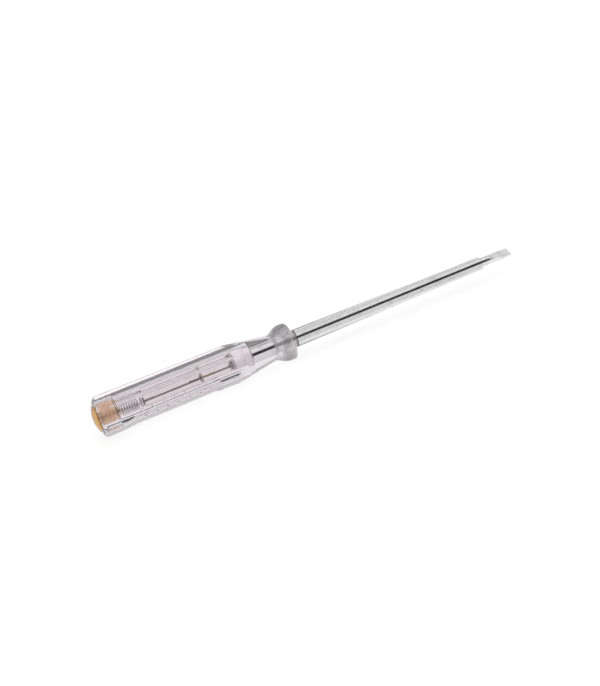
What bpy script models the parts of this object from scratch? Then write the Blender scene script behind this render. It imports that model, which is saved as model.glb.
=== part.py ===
"""A mains voltage tester in the form of a small slotted screwdriver.

The tool lies on one flat of its clear six-sided handle. Metres, +Z up, +X from the end cap to the blade.
The origin is under the middle of the whole length, on the surface that the tool lies on.
Run it with: blender --background --python part.py
"""

import math

import bmesh
import bpy
from mathutils import Matrix, Vector

# Clearance between pieces that touch, and how far a cutter runs past what it cuts
SEAT_GAP = 0.0003
CUT_OVERRUN = 0.0010

# Handle, a clear six-sided grip turned down to a round neck, with a flare up to a round finger guard
HANDLE_LENGTH = 0.0790
HANDLE_FLATS = 0.0140
HANDLE_CORNER_RADIUS = 0.0008
HANDLE_REAR_RADIUS = 0.0022
HANDLE_MOUTH_CHAMFER = 0.0003
TAPER_LENGTH = 0.0179
NECK_DIAMETER = 0.0104
NECK_RUN_ON = 0.0015
FLARE_LENGTH = 0.0063
FLARE_OVERLAP = 0.0008
GUARD_DIAMETER = 0.0149
GUARD_LAND = 0.0021
GUARD_EDGE_RADIUS = 0.0005
BOSS_DIAMETER = 0.0074
BOSS_LENGTH = 0.0022
CHAMBER_DIAMETER = 0.0076
MOUTH_DIAMETER = 0.0090

# Shallow panel in one side flat, turned from straight down about +X, with low cross bars on its floor
PANEL_TURN_DEG = -60
PANEL_START = 0.0070
PANEL_REAR_RAMP = 0.0068
PANEL_FLOOR_LENGTH = 0.0307
PANEL_FRONT_RAMP = 0.0035
PANEL_DEPTH = 0.0006
BAR_COUNT = 7
BAR_HEIGHT = 0.0003
BAR_WIDTH = 0.0013
BAR_LENGTH = 0.0042
BAR_EDGE_RADIUS = 0.00012

# Insulating sleeve, a clear tube with a slight taper
SLEEVE_LENGTH = 0.0907
SLEEVE_ROOT_DIAMETER = 0.0070
SLEEVE_TIP_DIAMETER = 0.0057
SLEEVE_EDGE = 0.0002

# Shaft with its ground screwdriver blade, whose upper flat faces a roll angle measured from +Y upwards
SHAFT_DIAMETER = 0.0040
SHAFT_REAR_CHAMFER = 0.0005
BLADE_BARE_LENGTH = 0.0161
WEDGE_LENGTH = 0.0130
WEDGE_HOLLOW = 0.00015
TIP_THICKNESS = 0.0007
BLADE_ROLL_DEG = 105

# End cap, a domed brass head on a shank that screws into the handle
CAP_DIAMETER = 0.0101
CAP_RIM = 0.0002
CAP_DOME_HEIGHT = 0.0012
CAP_SHANK_LENGTH = 0.0069
CAP_GROOVE_WIDTH = 0.0005
CAP_GROOVE_DEPTH = 0.0005
CAP_GROOVE_SETBACK = 0.0008

# Plain disc between the cap's shank and the spring
CAP_DISC_DIAMETER = 0.0067
CAP_DISC_THICKNESS = 0.0006
CAP_DISC_SPIGOT_LENGTH = 0.0008

# Contact spring
SPRING_LENGTH = 0.0083
SPRING_DIAMETER = 0.0063
SPRING_WIRE_DIAMETER = 0.00045
SPRING_TURNS = 7
SPRING_BEND_RADIUS = 0.0003

# Neon lamp, a glass tube with a terminal at each end and two electrodes on one line
LAMP_LENGTH = 0.0362
LAMP_DIAMETER = 0.0070
LAMP_WALL = 0.0005
LAMP_END_ROUNDING = 0.0016
TERMINAL_DIAMETER = 0.0060
TERMINAL_THICKNESS = 0.0003
PIN_DIAMETER = 0.0008
PIN_LENGTH = 0.0053
LEAD_DIAMETER = 0.00045
ELECTRODE_DIAMETER = 0.0010
ELECTRODE_LENGTH = 0.0042
ELECTRODE_TIP_ROUNDING = 0.0002
PLATED_ROD_DIAMETER = 0.0007
PLATED_ROD_LENGTH = 0.0049
BEAD_DIAMETER = 0.0017
BEAD_LENGTH = 0.0009
BEAD_PLACE_SHARE = 0.6527
SPACER_THICKNESS = 0.0003

# Series resistor, its end caps and the white bush that holds them
RESISTOR_DIAMETER = 0.0022
RESISTOR_LENGTH = 0.0039
RESISTOR_WAIST_DEPTH = 0.0002
RESISTOR_CAP_DIAMETER = 0.0026
RESISTOR_CAP_THICKNESS = 0.0008
BUSH_LENGTH = 0.0069
BUSH_GROOVE_WIDTH = 0.0016
BUSH_GROOVE_DEPTH = 0.0005
BUSH_RIDGE_WIDTH = 0.0004
BUSH_EDGE = 0.0003
CONTACT_DISC_THICKNESS = 0.0005

# Smoothness of turned pieces
FINE_STEPS = 48
COARSE_STEPS = 32
WIRE_STEPS = 16
CURL_POINTS = 10
BEND_POINTS = 4
RAMP_POINTS = 8
FLARE_POINTS = 14
ROUND_POINTS = 6

# Heights and reaches worked out from the sizes above
HEX_SIDES = 6
flat_angle = math.pi / HEX_SIDES
axis_height = GUARD_DIAMETER / 2
handle_flat = HANDLE_FLATS / 2
corner_loss = HANDLE_CORNER_RADIUS * (1 / math.cos(flat_angle) - 1)
corner_reach = handle_flat / math.cos(flat_angle) - corner_loss
neck_radius = NECK_DIAMETER / 2
taper_slope = (corner_reach - neck_radius) / TAPER_LENGTH
chamber_radius = CHAMBER_DIAMETER / 2
mouth_radius = MOUTH_DIAMETER / 2
panel_turn = math.radians(PANEL_TURN_DEG)
shaft_radius = SHAFT_DIAMETER / 2
shaft_bore_radius = shaft_radius + SEAT_GAP

# Places along the axis, from the handle's rear face towards the blade
cap_rear = -SEAT_GAP - CAP_RIM - CAP_DOME_HEIGHT
flare_start = HANDLE_LENGTH - GUARD_LAND - FLARE_LENGTH
neck = flare_start + FLARE_OVERLAP
straight_end = neck - TAPER_LENGTH
boss_front = HANDLE_LENGTH + BOSS_LENGTH
sleeve_rear = boss_front + SEAT_GAP
sleeve_front = sleeve_rear + SLEEVE_LENGTH
tip = sleeve_front + BLADE_BARE_LENGTH
shank_front = CAP_SHANK_LENGTH - SEAT_GAP
cap_disc_rear = shank_front + SEAT_GAP
cap_disc_front = cap_disc_rear + CAP_DISC_THICKNESS
mouth_front = cap_disc_rear + SEAT_GAP
spring_rear = cap_disc_front + SEAT_GAP
spring_front = spring_rear + SPRING_LENGTH
rear_terminal_rear = spring_front + SEAT_GAP
rear_terminal_front = rear_terminal_rear + TERMINAL_THICKNESS
glass_rear = rear_terminal_front + SEAT_GAP
glass_front = glass_rear + LAMP_LENGTH
front_terminal_rear = glass_front + SEAT_GAP
front_terminal_front = front_terminal_rear + TERMINAL_THICKNESS
pin_front = rear_terminal_front + PIN_LENGTH
bead_rear = glass_rear + LAMP_LENGTH * BEAD_PLACE_SHARE - BEAD_LENGTH / 2
bead_front = bead_rear + BEAD_LENGTH
electrode_front = bead_rear - SEAT_GAP
electrode_rear = electrode_front - ELECTRODE_LENGTH
plated_rod_rear = bead_front + SEAT_GAP
plated_rod_front = plated_rod_rear + PLATED_ROD_LENGTH
rear_cap_rear = front_terminal_front + SEAT_GAP
rear_cap_front = rear_cap_rear + RESISTOR_CAP_THICKNESS
resistor_rear = rear_cap_front + SEAT_GAP
resistor_front = resistor_rear + RESISTOR_LENGTH
front_cap_rear = resistor_front + SEAT_GAP
front_cap_front = front_cap_rear + RESISTOR_CAP_THICKNESS
contact_disc_rear = front_cap_front + SEAT_GAP
contact_disc_front = contact_disc_rear + CONTACT_DISC_THICKNESS
bush_front = contact_disc_front
bush_rear = bush_front - BUSH_LENGTH
chamber_front = bush_front + SEAT_GAP
shaft_rear = contact_disc_front + SEAT_GAP

# The middle of the whole length lies over the origin
rear_face = -(cap_rear + tip) / 2


def on_axis(distance):
    """World place of a point on the tool's axis, a distance in front of the handle's rear face."""
    return Vector((rear_face + distance, 0, axis_height))


def make_collection(name):
    """A new collection in the scene."""
    collection = bpy.data.collections.new(name)
    bpy.context.scene.collection.children.link(collection)
    return collection


def make_material(name, colour, roughness, metallic=0.0, alpha=1.0):
    """A Principled material with one plain colour."""
    material = bpy.data.materials.new(name)
    material.use_nodes = True
    shader = material.node_tree.nodes["Principled BSDF"]
    shader.inputs["Base Color"].default_value = (*colour, 1.0)
    shader.inputs["Roughness"].default_value = roughness
    shader.inputs["Metallic"].default_value = metallic
    shader.inputs["Alpha"].default_value = alpha
    material.diffuse_color = (*colour, alpha)
    return material


def place(obj, collection, material=None):
    """Puts an object in its collection with its material."""
    collection.objects.link(obj)
    if material is not None:
        obj.data.materials.append(material)
    return obj


def as_cutter(obj, collection):
    """Marks an object as a shaping tool that is no part of the model."""
    collection.objects.link(obj)
    obj.hide_render = True
    obj.display_type = "WIRE"
    return obj


def shape_with(obj, tool, operation):
    """Adds an exact Boolean of the tool to the object."""
    modifier = obj.modifiers.new(f"{operation.lower()} {tool.name}", "BOOLEAN")
    modifier.operation = operation
    modifier.solver = "EXACT"
    modifier.object = tool


def arc(centre, radius, start_deg, end_deg, count):
    """Points of an arc in the plane of distance along the axis and radius."""
    points = []
    for k in range(count + 1):
        angle = math.radians(start_deg + (end_deg - start_deg) * k / count)
        points.append((centre[0] + radius * math.cos(angle), centre[1] + radius * math.sin(angle)))
    return points


def ease(share):
    """A share from 0 to 1 with a level start and a level end."""
    return share * share * (3 - 2 * share)


def turned(name, outline, steps, closed=False):
    """A piece turned about the tool's axis.

    The outline holds (distance along the axis, radius) from the rear end to the front. A closed outline
    then runs back through the bore. The Screw modifier wants it from the front, on the +X side.
    """
    start = min(x for x, _ in outline)
    mesh = bpy.data.meshes.new(name)
    points = [(radius, 0, x - start) for x, radius in reversed(outline)]
    edges = [(k, k + 1) for k in range(len(points) - 1)]
    if closed:
        edges.append((len(points) - 1, 0))
    mesh.from_pydata(points, edges, [])
    obj = bpy.data.objects.new(name, mesh)
    obj.location = on_axis(start)
    obj.rotation_euler = (0, math.pi / 2, 0)
    screw = obj.modifiers.new("turn", "SCREW")
    screw.axis = "Z"
    screw.steps = steps
    screw.render_steps = steps
    screw.use_merge_vertices = True
    screw.merge_threshold = SEAT_GAP / 30
    screw.use_smooth_shade = True
    return obj


def disc(name, rear, front, radius, steps, edge=0.0, bore=0.0):
    """A turned disc or washer with its rims broken by a small chamfer."""
    outline = [(rear, radius - edge), (rear + edge, radius), (front - edge, radius), (front, radius - edge)]
    if not edge:
        outline = [(rear, radius), (front, radius)]
    if bore:
        return turned(name, outline + [(front, bore), (rear, bore)], steps, closed=True)
    return turned(name, [(rear, 0)] + outline + [(front, 0)], steps)


def plate(name, outline, width):
    """A flat outline in distance along the axis and height over it, given a width across."""
    curve = bpy.data.curves.new(name, "CURVE")
    curve.dimensions = "2D"
    curve.fill_mode = "BOTH"
    curve.extrude = width / 2
    spline = curve.splines.new("POLY")
    spline.points.add(len(outline) - 1)
    for point, (x, z) in zip(spline.points, outline):
        point.co = (x, z, 0, 1)
    spline.use_cyclic_u = True
    drawn = bpy.data.objects.new(name, curve)
    bpy.context.scene.collection.objects.link(drawn)
    bpy.context.view_layer.update()
    evaluated = drawn.evaluated_get(bpy.context.evaluated_depsgraph_get())
    mesh = bpy.data.meshes.new_from_object(evaluated)
    mesh.name = name
    bpy.data.objects.remove(drawn)
    bpy.data.curves.remove(curve)
    shape = bmesh.new()
    shape.from_mesh(mesh)
    bmesh.ops.remove_doubles(shape, verts=shape.verts, dist=SEAT_GAP / 30)
    bmesh.ops.recalc_face_normals(shape, faces=shape.faces)
    shape.to_mesh(mesh)
    shape.free()
    obj = bpy.data.objects.new(name, mesh)
    obj.location = on_axis(0)
    obj.rotation_euler = (math.pi / 2, 0, 0)
    return obj


def grip_blank():
    """The plain six-sided bar, long edges rounded, past the neck."""
    shape = bmesh.new()
    length = neck + NECK_RUN_ON
    radius = handle_flat / math.cos(flat_angle)
    bmesh.ops.create_cone(
        shape,
        cap_ends=True,
        segments=HEX_SIDES,
        radius1=radius,
        radius2=radius,
        depth=length,
        matrix=Matrix.Translation((0, 0, length / 2)),
    )
    long_edges = [
        edge for edge in shape.edges if abs(edge.verts[0].co.z - edge.verts[1].co.z) > HANDLE_CORNER_RADIUS
    ]
    bmesh.ops.bevel(
        shape,
        geom=long_edges,
        offset=HANDLE_CORNER_RADIUS * math.tan(flat_angle),
        offset_type="OFFSET",
        segments=4,
        profile=0.5,
        affect="EDGES",
    )
    mesh = bpy.data.meshes.new("handle_body")
    shape.to_mesh(mesh)
    shape.free()
    obj = bpy.data.objects.new("handle_body", mesh)
    obj.location = on_axis(0)
    obj.rotation_euler = (0, math.pi / 2, 0)
    return obj


def grip_envelope():
    """A turned body that rounds the grip's rear end where it meets it, and cuts its front down to the neck."""
    face_radius = corner_reach - HANDLE_REAR_RADIUS
    outer = corner_reach + CUT_OVERRUN
    grip_front = neck + NECK_RUN_ON
    outline = [(0, 0)] + arc((HANDLE_REAR_RADIUS, face_radius), HANDLE_REAR_RADIUS, 180, 90, ROUND_POINTS)
    outline += [(HANDLE_REAR_RADIUS, outer), (straight_end - CUT_OVERRUN / taper_slope, outer)]
    outline += [(grip_front, neck_radius - NECK_RUN_ON * taper_slope), (grip_front, 0)]
    return turned("grip_envelope", outline, FINE_STEPS)


def guard_blank():
    """The round flare, finger guard and sleeve boss."""
    rim_radius = GUARD_DIAMETER / 2
    boss_radius = BOSS_DIAMETER / 2
    outline = [(flare_start, 0)]
    for k in range(FLARE_POINTS + 1):
        share = k / FLARE_POINTS
        radius = neck_radius + (rim_radius - neck_radius) * ease(share)
        outline.append((flare_start + FLARE_LENGTH * share, radius))
    edge_centre = (HANDLE_LENGTH - GUARD_EDGE_RADIUS, rim_radius - GUARD_EDGE_RADIUS)
    outline += arc(edge_centre, GUARD_EDGE_RADIUS, 90, 0, ROUND_POINTS)
    outline += [(HANDLE_LENGTH, boss_radius), (boss_front, boss_radius), (boss_front, 0)]
    return turned("guard_blank", outline, FINE_STEPS)


def chamber_cutter():
    """The stepped bore: the cap's mouth, a chamber for the lamp and a narrow run for the shaft."""
    mouth_edge = mouth_radius + HANDLE_MOUTH_CHAMFER
    outline = [
        (-CUT_OVERRUN, 0),
        (-CUT_OVERRUN, mouth_edge),
        (0, mouth_edge),
        (HANDLE_MOUTH_CHAMFER, mouth_radius),
        (mouth_front, mouth_radius),
        (mouth_front, chamber_radius),
        (chamber_front, chamber_radius),
        (chamber_front, shaft_bore_radius),
        (boss_front + CUT_OVERRUN, shaft_bore_radius),
        (boss_front + CUT_OVERRUN, 0),
    ]
    return turned("chamber_cutter", outline, FINE_STEPS)


def panel_cutter():
    """A shallow trough across one side flat, with a long rear ramp and a short front one."""
    floor_start = PANEL_START + PANEL_REAR_RAMP
    floor_end = floor_start + PANEL_FLOOR_LENGTH
    outline = []
    for k in range(RAMP_POINTS + 1):
        share = k / RAMP_POINTS
        outline.append((PANEL_START + PANEL_REAR_RAMP * share, PANEL_DEPTH * ease(share) - handle_flat))
    for k in range(RAMP_POINTS + 1):
        share = k / RAMP_POINTS
        outline.append((floor_end + PANEL_FRONT_RAMP * share, PANEL_DEPTH * ease(1 - share) - handle_flat))
    panel_end = floor_end + PANEL_FRONT_RAMP
    outline += [(panel_end, -handle_flat - CUT_OVERRUN), (PANEL_START, -handle_flat - CUT_OVERRUN)]
    obj = plate("panel_cutter", outline, 2 * corner_reach)
    obj.rotation_euler.x += panel_turn
    return obj


def panel_bars():
    """Low rounded bars in a row on the panel's floor."""
    shape = bmesh.new()
    floor_start = PANEL_START + PANEL_REAR_RAMP
    height = 2 * BAR_HEIGHT
    for k in range(BAR_COUNT):
        middle = floor_start + PANEL_FLOOR_LENGTH * (k + 0.5) / BAR_COUNT
        centre = Vector((middle, 0, PANEL_DEPTH - handle_flat))
        size = Matrix.Diagonal((BAR_WIDTH, BAR_LENGTH, height, 1))
        bmesh.ops.create_cube(shape, size=1, matrix=Matrix.Translation(centre) @ size)
    bmesh.ops.bevel(
        shape,
        geom=list(shape.edges),
        offset=BAR_EDGE_RADIUS,
        offset_type="OFFSET",
        segments=2,
        profile=0.5,
        affect="EDGES",
    )
    mesh = bpy.data.meshes.new("panel_bars")
    shape.to_mesh(mesh)
    shape.free()
    obj = bpy.data.objects.new("panel_bars", mesh)
    obj.location = on_axis(0)
    obj.rotation_euler = (panel_turn, 0, 0)
    return obj


def build_handle(model, cutters, material):
    """The clear handle: grip, neck, guard and boss in one moulding, bored from both ends."""
    handle = place(grip_blank(), model, material)
    shape_with(handle, as_cutter(grip_envelope(), cutters), "INTERSECT")
    shape_with(handle, as_cutter(guard_blank(), cutters), "UNION")
    shape_with(handle, as_cutter(chamber_cutter(), cutters), "DIFFERENCE")
    shape_with(handle, as_cutter(panel_cutter(), cutters), "DIFFERENCE")
    shape_with(handle, as_cutter(panel_bars(), cutters), "UNION")


def build_sleeve(model, material):
    """The clear tube over the shaft, from the handle's boss to the bare blade."""
    root = SLEEVE_ROOT_DIAMETER / 2
    end = SLEEVE_TIP_DIAMETER / 2
    outline = [
        (sleeve_rear, root - SLEEVE_EDGE),
        (sleeve_rear + SLEEVE_EDGE, root),
        (sleeve_front - SLEEVE_EDGE, end),
        (sleeve_front, end - SLEEVE_EDGE),
        (sleeve_front, shaft_bore_radius),
        (sleeve_rear, shaft_bore_radius),
    ]
    place(turned("insulating_sleeve", outline, FINE_STEPS, closed=True), model, material)


def wedge_cutter(name, roll_deg):
    """What the grinding takes off one side of the blade, slightly hollow."""
    wedge_rear = tip - WEDGE_LENGTH
    half_tip = TIP_THICKNESS / 2
    outline = []
    for k in range(RAMP_POINTS + 1):
        share = k / RAMP_POINTS
        hollow = WEDGE_HOLLOW * 4 * share * (1 - share)
        outline.append((wedge_rear + WEDGE_LENGTH * share, shaft_radius + (half_tip - shaft_radius) * share - hollow))
    outline += [(tip + CUT_OVERRUN, half_tip), (tip + CUT_OVERRUN, shaft_radius + CUT_OVERRUN)]
    outline.append((wedge_rear, shaft_radius + CUT_OVERRUN))
    obj = plate(name, outline, SHAFT_DIAMETER + CUT_OVERRUN)
    obj.rotation_euler = (math.pi / 2 + math.radians(roll_deg), 0, 0)
    return obj


def build_shaft(model, cutters, material):
    """The plated shaft, from the lamp chamber's end to the ground tip."""
    outline = [
        (shaft_rear, 0),
        (shaft_rear, shaft_radius - SHAFT_REAR_CHAMFER),
        (shaft_rear + SHAFT_REAR_CHAMFER, shaft_radius),
        (tip, shaft_radius),
        (tip, 0),
    ]
    shaft = place(turned("blade_shaft", outline, FINE_STEPS), model, material)
    for name, half_turn_deg in (("wedge_cutter_upper", 0), ("wedge_cutter_lower", 180)):
        cutter = as_cutter(wedge_cutter(name, BLADE_ROLL_DEG - 90 + half_turn_deg), cutters)
        shape_with(shaft, cutter, "DIFFERENCE")


def build_end_cap(model, material):
    """The domed head and its shank, which closes the chamber and presses on the spring."""
    rim_radius = CAP_DIAMETER / 2
    shank_radius = mouth_radius - SEAT_GAP
    dome_radius = (rim_radius**2 + CAP_DOME_HEIGHT**2) / (2 * CAP_DOME_HEIGHT)
    dome_centre = cap_rear + dome_radius
    half_angle = math.degrees(math.asin(rim_radius / dome_radius))
    outline = arc((dome_centre, 0), dome_radius, 180, 180 - half_angle, ROUND_POINTS * 2)
    groove_front = shank_front - CAP_GROOVE_SETBACK
    groove_rear = groove_front - CAP_GROOVE_WIDTH
    outline[0] = (cap_rear, 0)
    outline += [
        (-SEAT_GAP, rim_radius),
        (-SEAT_GAP, shank_radius),
        (groove_rear, shank_radius),
        (groove_rear, shank_radius - CAP_GROOVE_DEPTH),
        (groove_front, shank_radius - CAP_GROOVE_DEPTH),
        (groove_front, shank_radius),
        (shank_front, shank_radius),
        (shank_front, 0),
    ]
    place(turned("end_cap", outline, FINE_STEPS), model, material)


def build_cap_disc(model, material):
    """The plain disc that slides with the cap and centres the spring on its spigot."""
    radius = CAP_DISC_DIAMETER / 2
    spigot_radius = SPRING_DIAMETER / 2 - SPRING_WIRE_DIAMETER - SEAT_GAP
    outline = [
        (cap_disc_rear, 0),
        (cap_disc_rear, radius),
        (cap_disc_front, radius),
        (cap_disc_front, spigot_radius),
        (cap_disc_front + CAP_DISC_SPIGOT_LENGTH, spigot_radius),
        (cap_disc_front + CAP_DISC_SPIGOT_LENGTH, 0),
    ]
    place(turned("cap_contact_disc", outline, COARSE_STEPS), model, material)


def spring_path():
    """Points of the spring's centre line: a straight foot, a bend, the curls, a bend and a straight foot.

    Each entry is (distance along the axis, turn in radians, radius).
    """
    coil_radius = (SPRING_DIAMETER - SPRING_WIRE_DIAMETER) / 2
    bend_turn = SPRING_BEND_RADIUS / coil_radius
    foot = SPRING_WIRE_DIAMETER
    curl_rear = spring_rear + foot + SPRING_BEND_RADIUS
    curl_front = spring_front - foot - SPRING_BEND_RADIUS
    sweep = 2 * math.pi * SPRING_TURNS
    count = CURL_POINTS * SPRING_TURNS
    rise = curl_front - curl_rear
    path = [(spring_rear, -bend_turn)]
    for k in range(BEND_POINTS):
        angle = math.pi / 2 * k / BEND_POINTS
        advance = SPRING_BEND_RADIUS * math.sin(angle)
        path.append((spring_rear + foot + advance, -bend_turn * math.cos(angle)))
    path += [(curl_rear + rise * k / count, sweep * k / count) for k in range(count + 1)]
    for k in reversed(range(BEND_POINTS)):
        angle = math.pi / 2 * k / BEND_POINTS
        advance = SPRING_BEND_RADIUS * math.sin(angle)
        path.append((spring_front - foot - advance, sweep + bend_turn * math.cos(angle)))
    path.append((spring_front, sweep + bend_turn))
    return [(x, turn, coil_radius) for x, turn in path]


def least_gap(points, diameter):
    """The smallest clear space between stretches of a tube that lie half a curl or more apart along it."""
    nearest = math.inf
    for k, point in enumerate(points):
        for other in points[k + BEND_POINTS + CURL_POINTS // 2 :]:
            nearest = min(nearest, (point - other).length)
    return nearest - diameter


def build_spring(model, material):
    """The contact spring, one unbroken wire with both ends turned straight."""
    points = []
    for x, turn, radius in spring_path():
        points.append(on_axis(x) + Vector((0, radius * math.cos(turn), radius * math.sin(turn))))
    curve = bpy.data.curves.new("contact_spring", "CURVE")
    curve.dimensions = "3D"
    curve.bevel_depth = SPRING_WIRE_DIAMETER / 2
    curve.bevel_resolution = 1
    curve.use_fill_caps = True
    spline = curve.splines.new("POLY")
    spline.points.add(len(points) - 1)
    origin = on_axis(spring_rear)
    for target, point in zip(spline.points, points):
        target.co = (*(point - origin), 1)
    spring = bpy.data.objects.new("contact_spring", curve)
    spring.location = origin
    place(spring, model, material)
    gap = least_gap(points, SPRING_WIRE_DIAMETER)
    print(f"contact_spring: least gap to itself {gap * 1000:.2f} mm")


def build_lamp(model, materials):
    """The neon lamp: terminals, glass, leads, electrodes, bead and spacer."""
    lead_radius = LEAD_DIAMETER / 2
    pin_radius = PIN_DIAMETER / 2
    terminal_radius = TERMINAL_DIAMETER / 2
    outline = [
        (rear_terminal_rear, 0),
        (rear_terminal_rear, terminal_radius),
        (rear_terminal_front, terminal_radius),
        (rear_terminal_front, pin_radius),
        (pin_front, pin_radius),
        (pin_front, 0),
    ]
    place(turned("lamp_terminal_rear", outline, COARSE_STEPS), model, materials["steel"])

    glass_radius = LAMP_DIAMETER / 2
    bore_radius = glass_radius - LAMP_WALL
    hole_radius = pin_radius + SEAT_GAP
    inner_rounding = LAMP_END_ROUNDING - LAMP_WALL
    outline = arc(
        (glass_rear + LAMP_END_ROUNDING, glass_radius - LAMP_END_ROUNDING), LAMP_END_ROUNDING, 180, 90, ROUND_POINTS
    )
    outline += arc(
        (glass_front - LAMP_END_ROUNDING, glass_radius - LAMP_END_ROUNDING), LAMP_END_ROUNDING, 90, 0, ROUND_POINTS
    )
    outline += [(glass_front, hole_radius), (glass_front - LAMP_WALL, hole_radius)]
    inner_corner = bore_radius - inner_rounding
    outline += arc((glass_front - LAMP_WALL - inner_rounding, inner_corner), inner_rounding, 0, 90, ROUND_POINTS)
    outline += arc((glass_rear + LAMP_WALL + inner_rounding, inner_corner), inner_rounding, 90, 180, ROUND_POINTS)
    outline += [(glass_rear + LAMP_WALL, hole_radius), (glass_rear, hole_radius)]
    place(turned("lamp_glass", outline, COARSE_STEPS, closed=True), model, materials["glass"])

    lead = disc("lamp_lead_rear", pin_front + SEAT_GAP, electrode_rear - SEAT_GAP, lead_radius, WIRE_STEPS)
    place(lead, model, materials["steel"])
    electrode_radius = ELECTRODE_DIAMETER / 2
    electrode = disc(
        "lamp_electrode_rear", electrode_rear, electrode_front, electrode_radius, WIRE_STEPS, ELECTRODE_TIP_ROUNDING
    )
    place(electrode, model, materials["nickel"])

    bead_centre = (bead_rear + bead_front) / 2
    bead_radius = BEAD_DIAMETER / 2
    bead = []
    for k in range(2 * ROUND_POINTS + 1):
        angle = math.pi * k / (2 * ROUND_POINTS)
        bead.append((bead_centre - BEAD_LENGTH / 2 * math.cos(angle), bead_radius * math.sin(angle)))
    bead[0] = (bead_rear, 0)
    bead[-1] = (bead_front, 0)
    place(turned("lamp_bead", bead, COARSE_STEPS), model, materials["bead"])
    spacer = disc(
        "lamp_spacer",
        bead_centre - SPACER_THICKNESS / 2,
        bead_centre + SPACER_THICKNESS / 2,
        bore_radius - SEAT_GAP,
        COARSE_STEPS,
        bore=bead_radius + SEAT_GAP,
    )
    place(spacer, model, materials["mica"])

    rod = disc("lamp_electrode_front", plated_rod_rear, plated_rod_front, PLATED_ROD_DIAMETER / 2, WIRE_STEPS)
    place(rod, model, materials["brass"])
    lead = disc(
        "lamp_lead_front", plated_rod_front + SEAT_GAP, front_terminal_rear - SEAT_GAP, lead_radius, WIRE_STEPS
    )
    place(lead, model, materials["steel"])
    terminal = disc(
        "lamp_terminal_front", front_terminal_rear, front_terminal_front, terminal_radius, COARSE_STEPS
    )
    place(terminal, model, materials["steel"])


def build_resistor(model, materials):
    """The series resistor with its end caps, the bush round it and the disc that meets the shaft."""
    cap_radius = RESISTOR_CAP_DIAMETER / 2
    rear_cap = disc("resistor_cap_rear", rear_cap_rear, rear_cap_front, cap_radius, COARSE_STEPS, BUSH_EDGE / 2)
    place(rear_cap, model, materials["steel"])
    front_cap = disc("resistor_cap_front", front_cap_rear, front_cap_front, cap_radius, COARSE_STEPS, BUSH_EDGE / 2)
    place(front_cap, model, materials["steel"])

    radius = RESISTOR_DIAMETER / 2
    body = [(resistor_rear, 0)]
    for k in range(2 * ROUND_POINTS + 1):
        share = k / (2 * ROUND_POINTS)
        waist = RESISTOR_WAIST_DEPTH * math.sin(math.pi * share) ** 2
        body.append((resistor_rear + RESISTOR_LENGTH * share, radius - waist))
    body.append((resistor_front, 0))
    place(turned("resistor_body", body, COARSE_STEPS), model, materials["ceramic"])

    bore_radius = cap_radius + SEAT_GAP
    outer = chamber_radius - SEAT_GAP
    floor = outer - BUSH_GROOVE_DEPTH
    middle = (bush_rear + bush_front) / 2
    groove = BUSH_GROOVE_WIDTH / 2
    ridge = BUSH_RIDGE_WIDTH / 2
    outline = [
        (bush_rear, outer - BUSH_EDGE),
        (bush_rear + BUSH_EDGE, outer),
        (middle - groove, outer),
        (middle - groove, floor),
        (middle - ridge, floor),
        (middle - ridge, (outer + floor) / 2),
        (middle + ridge, (outer + floor) / 2),
        (middle + ridge, floor),
        (middle + groove, floor),
        (middle + groove, outer),
        (bush_front - BUSH_EDGE, outer),
        (bush_front, outer - BUSH_EDGE),
        (bush_front, bore_radius),
        (bush_rear, bore_radius),
    ]
    place(turned("resistor_bush", outline, FINE_STEPS, closed=True), model, materials["white"])
    contact = disc("shaft_contact_disc", contact_disc_rear, contact_disc_front, cap_radius, COARSE_STEPS)
    place(contact, model, materials["brass"])


def main():
    """Clears the scene and builds every piece."""
    for obj in list(bpy.data.objects):
        bpy.data.objects.remove(obj)
    model = make_collection("voltage_tester_screwdriver")
    cutters = make_collection("cutters")
    materials = {
        "clear": make_material("clear_plastic", (0.84, 0.80, 0.86), 0.05, alpha=0.35),
        "sleeve": make_material("sleeve_plastic", (0.88, 0.88, 0.88), 0.08, alpha=0.35),
        "chrome": make_material("chrome", (0.80, 0.80, 0.80), 0.12, 1.0),
        "brass": make_material("brass", (0.72, 0.47, 0.20), 0.25, 1.0),
        "disc": make_material("pale_brass", (0.80, 0.66, 0.45), 0.30, 1.0),
        "spring": make_material("spring_steel", (0.60, 0.60, 0.60), 0.30, 1.0),
        "steel": make_material("tinned_steel", (0.45, 0.42, 0.36), 0.35, 1.0),
        "nickel": make_material("nickel", (0.35, 0.33, 0.28), 0.40, 1.0),
        "glass": make_material("lamp_glass", (0.92, 0.84, 0.78), 0.03, alpha=0.35),
        "bead": make_material("glass_bead", (0.22, 0.18, 0.12), 0.20),
        "mica": make_material("mica", (0.75, 0.68, 0.58), 0.40),
        "ceramic": make_material("resistor_ceramic", (0.62, 0.52, 0.42), 0.55),
        "white": make_material("white_plastic", (0.92, 0.91, 0.92), 0.45),
    }
    build_handle(model, cutters, materials["clear"])
    build_sleeve(model, materials["sleeve"])
    build_shaft(model, cutters, materials["chrome"])
    build_end_cap(model, materials["brass"])
    build_cap_disc(model, materials["disc"])
    build_spring(model, materials["spring"])
    build_lamp(model, materials)
    build_resistor(model, materials)


main()
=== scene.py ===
"""Looks of a mains voltage tester: a small slotted screwdriver with a clear handle and a neon lamp inside.

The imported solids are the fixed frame. Every piece is made again here as a finer mesh in the same place, takes
a finish of its own and rides on the body of the solid that it stands for.
Metres, +Z up, +X from the end cap to the blade; one flat of the six-sided handle faces the floor.
"""

import logging
import math
from collections.abc import Callable, Sequence
from dataclasses import dataclass
from enum import Enum

import bmesh
import bpy
from mathutils import Matrix, Vector


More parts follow.
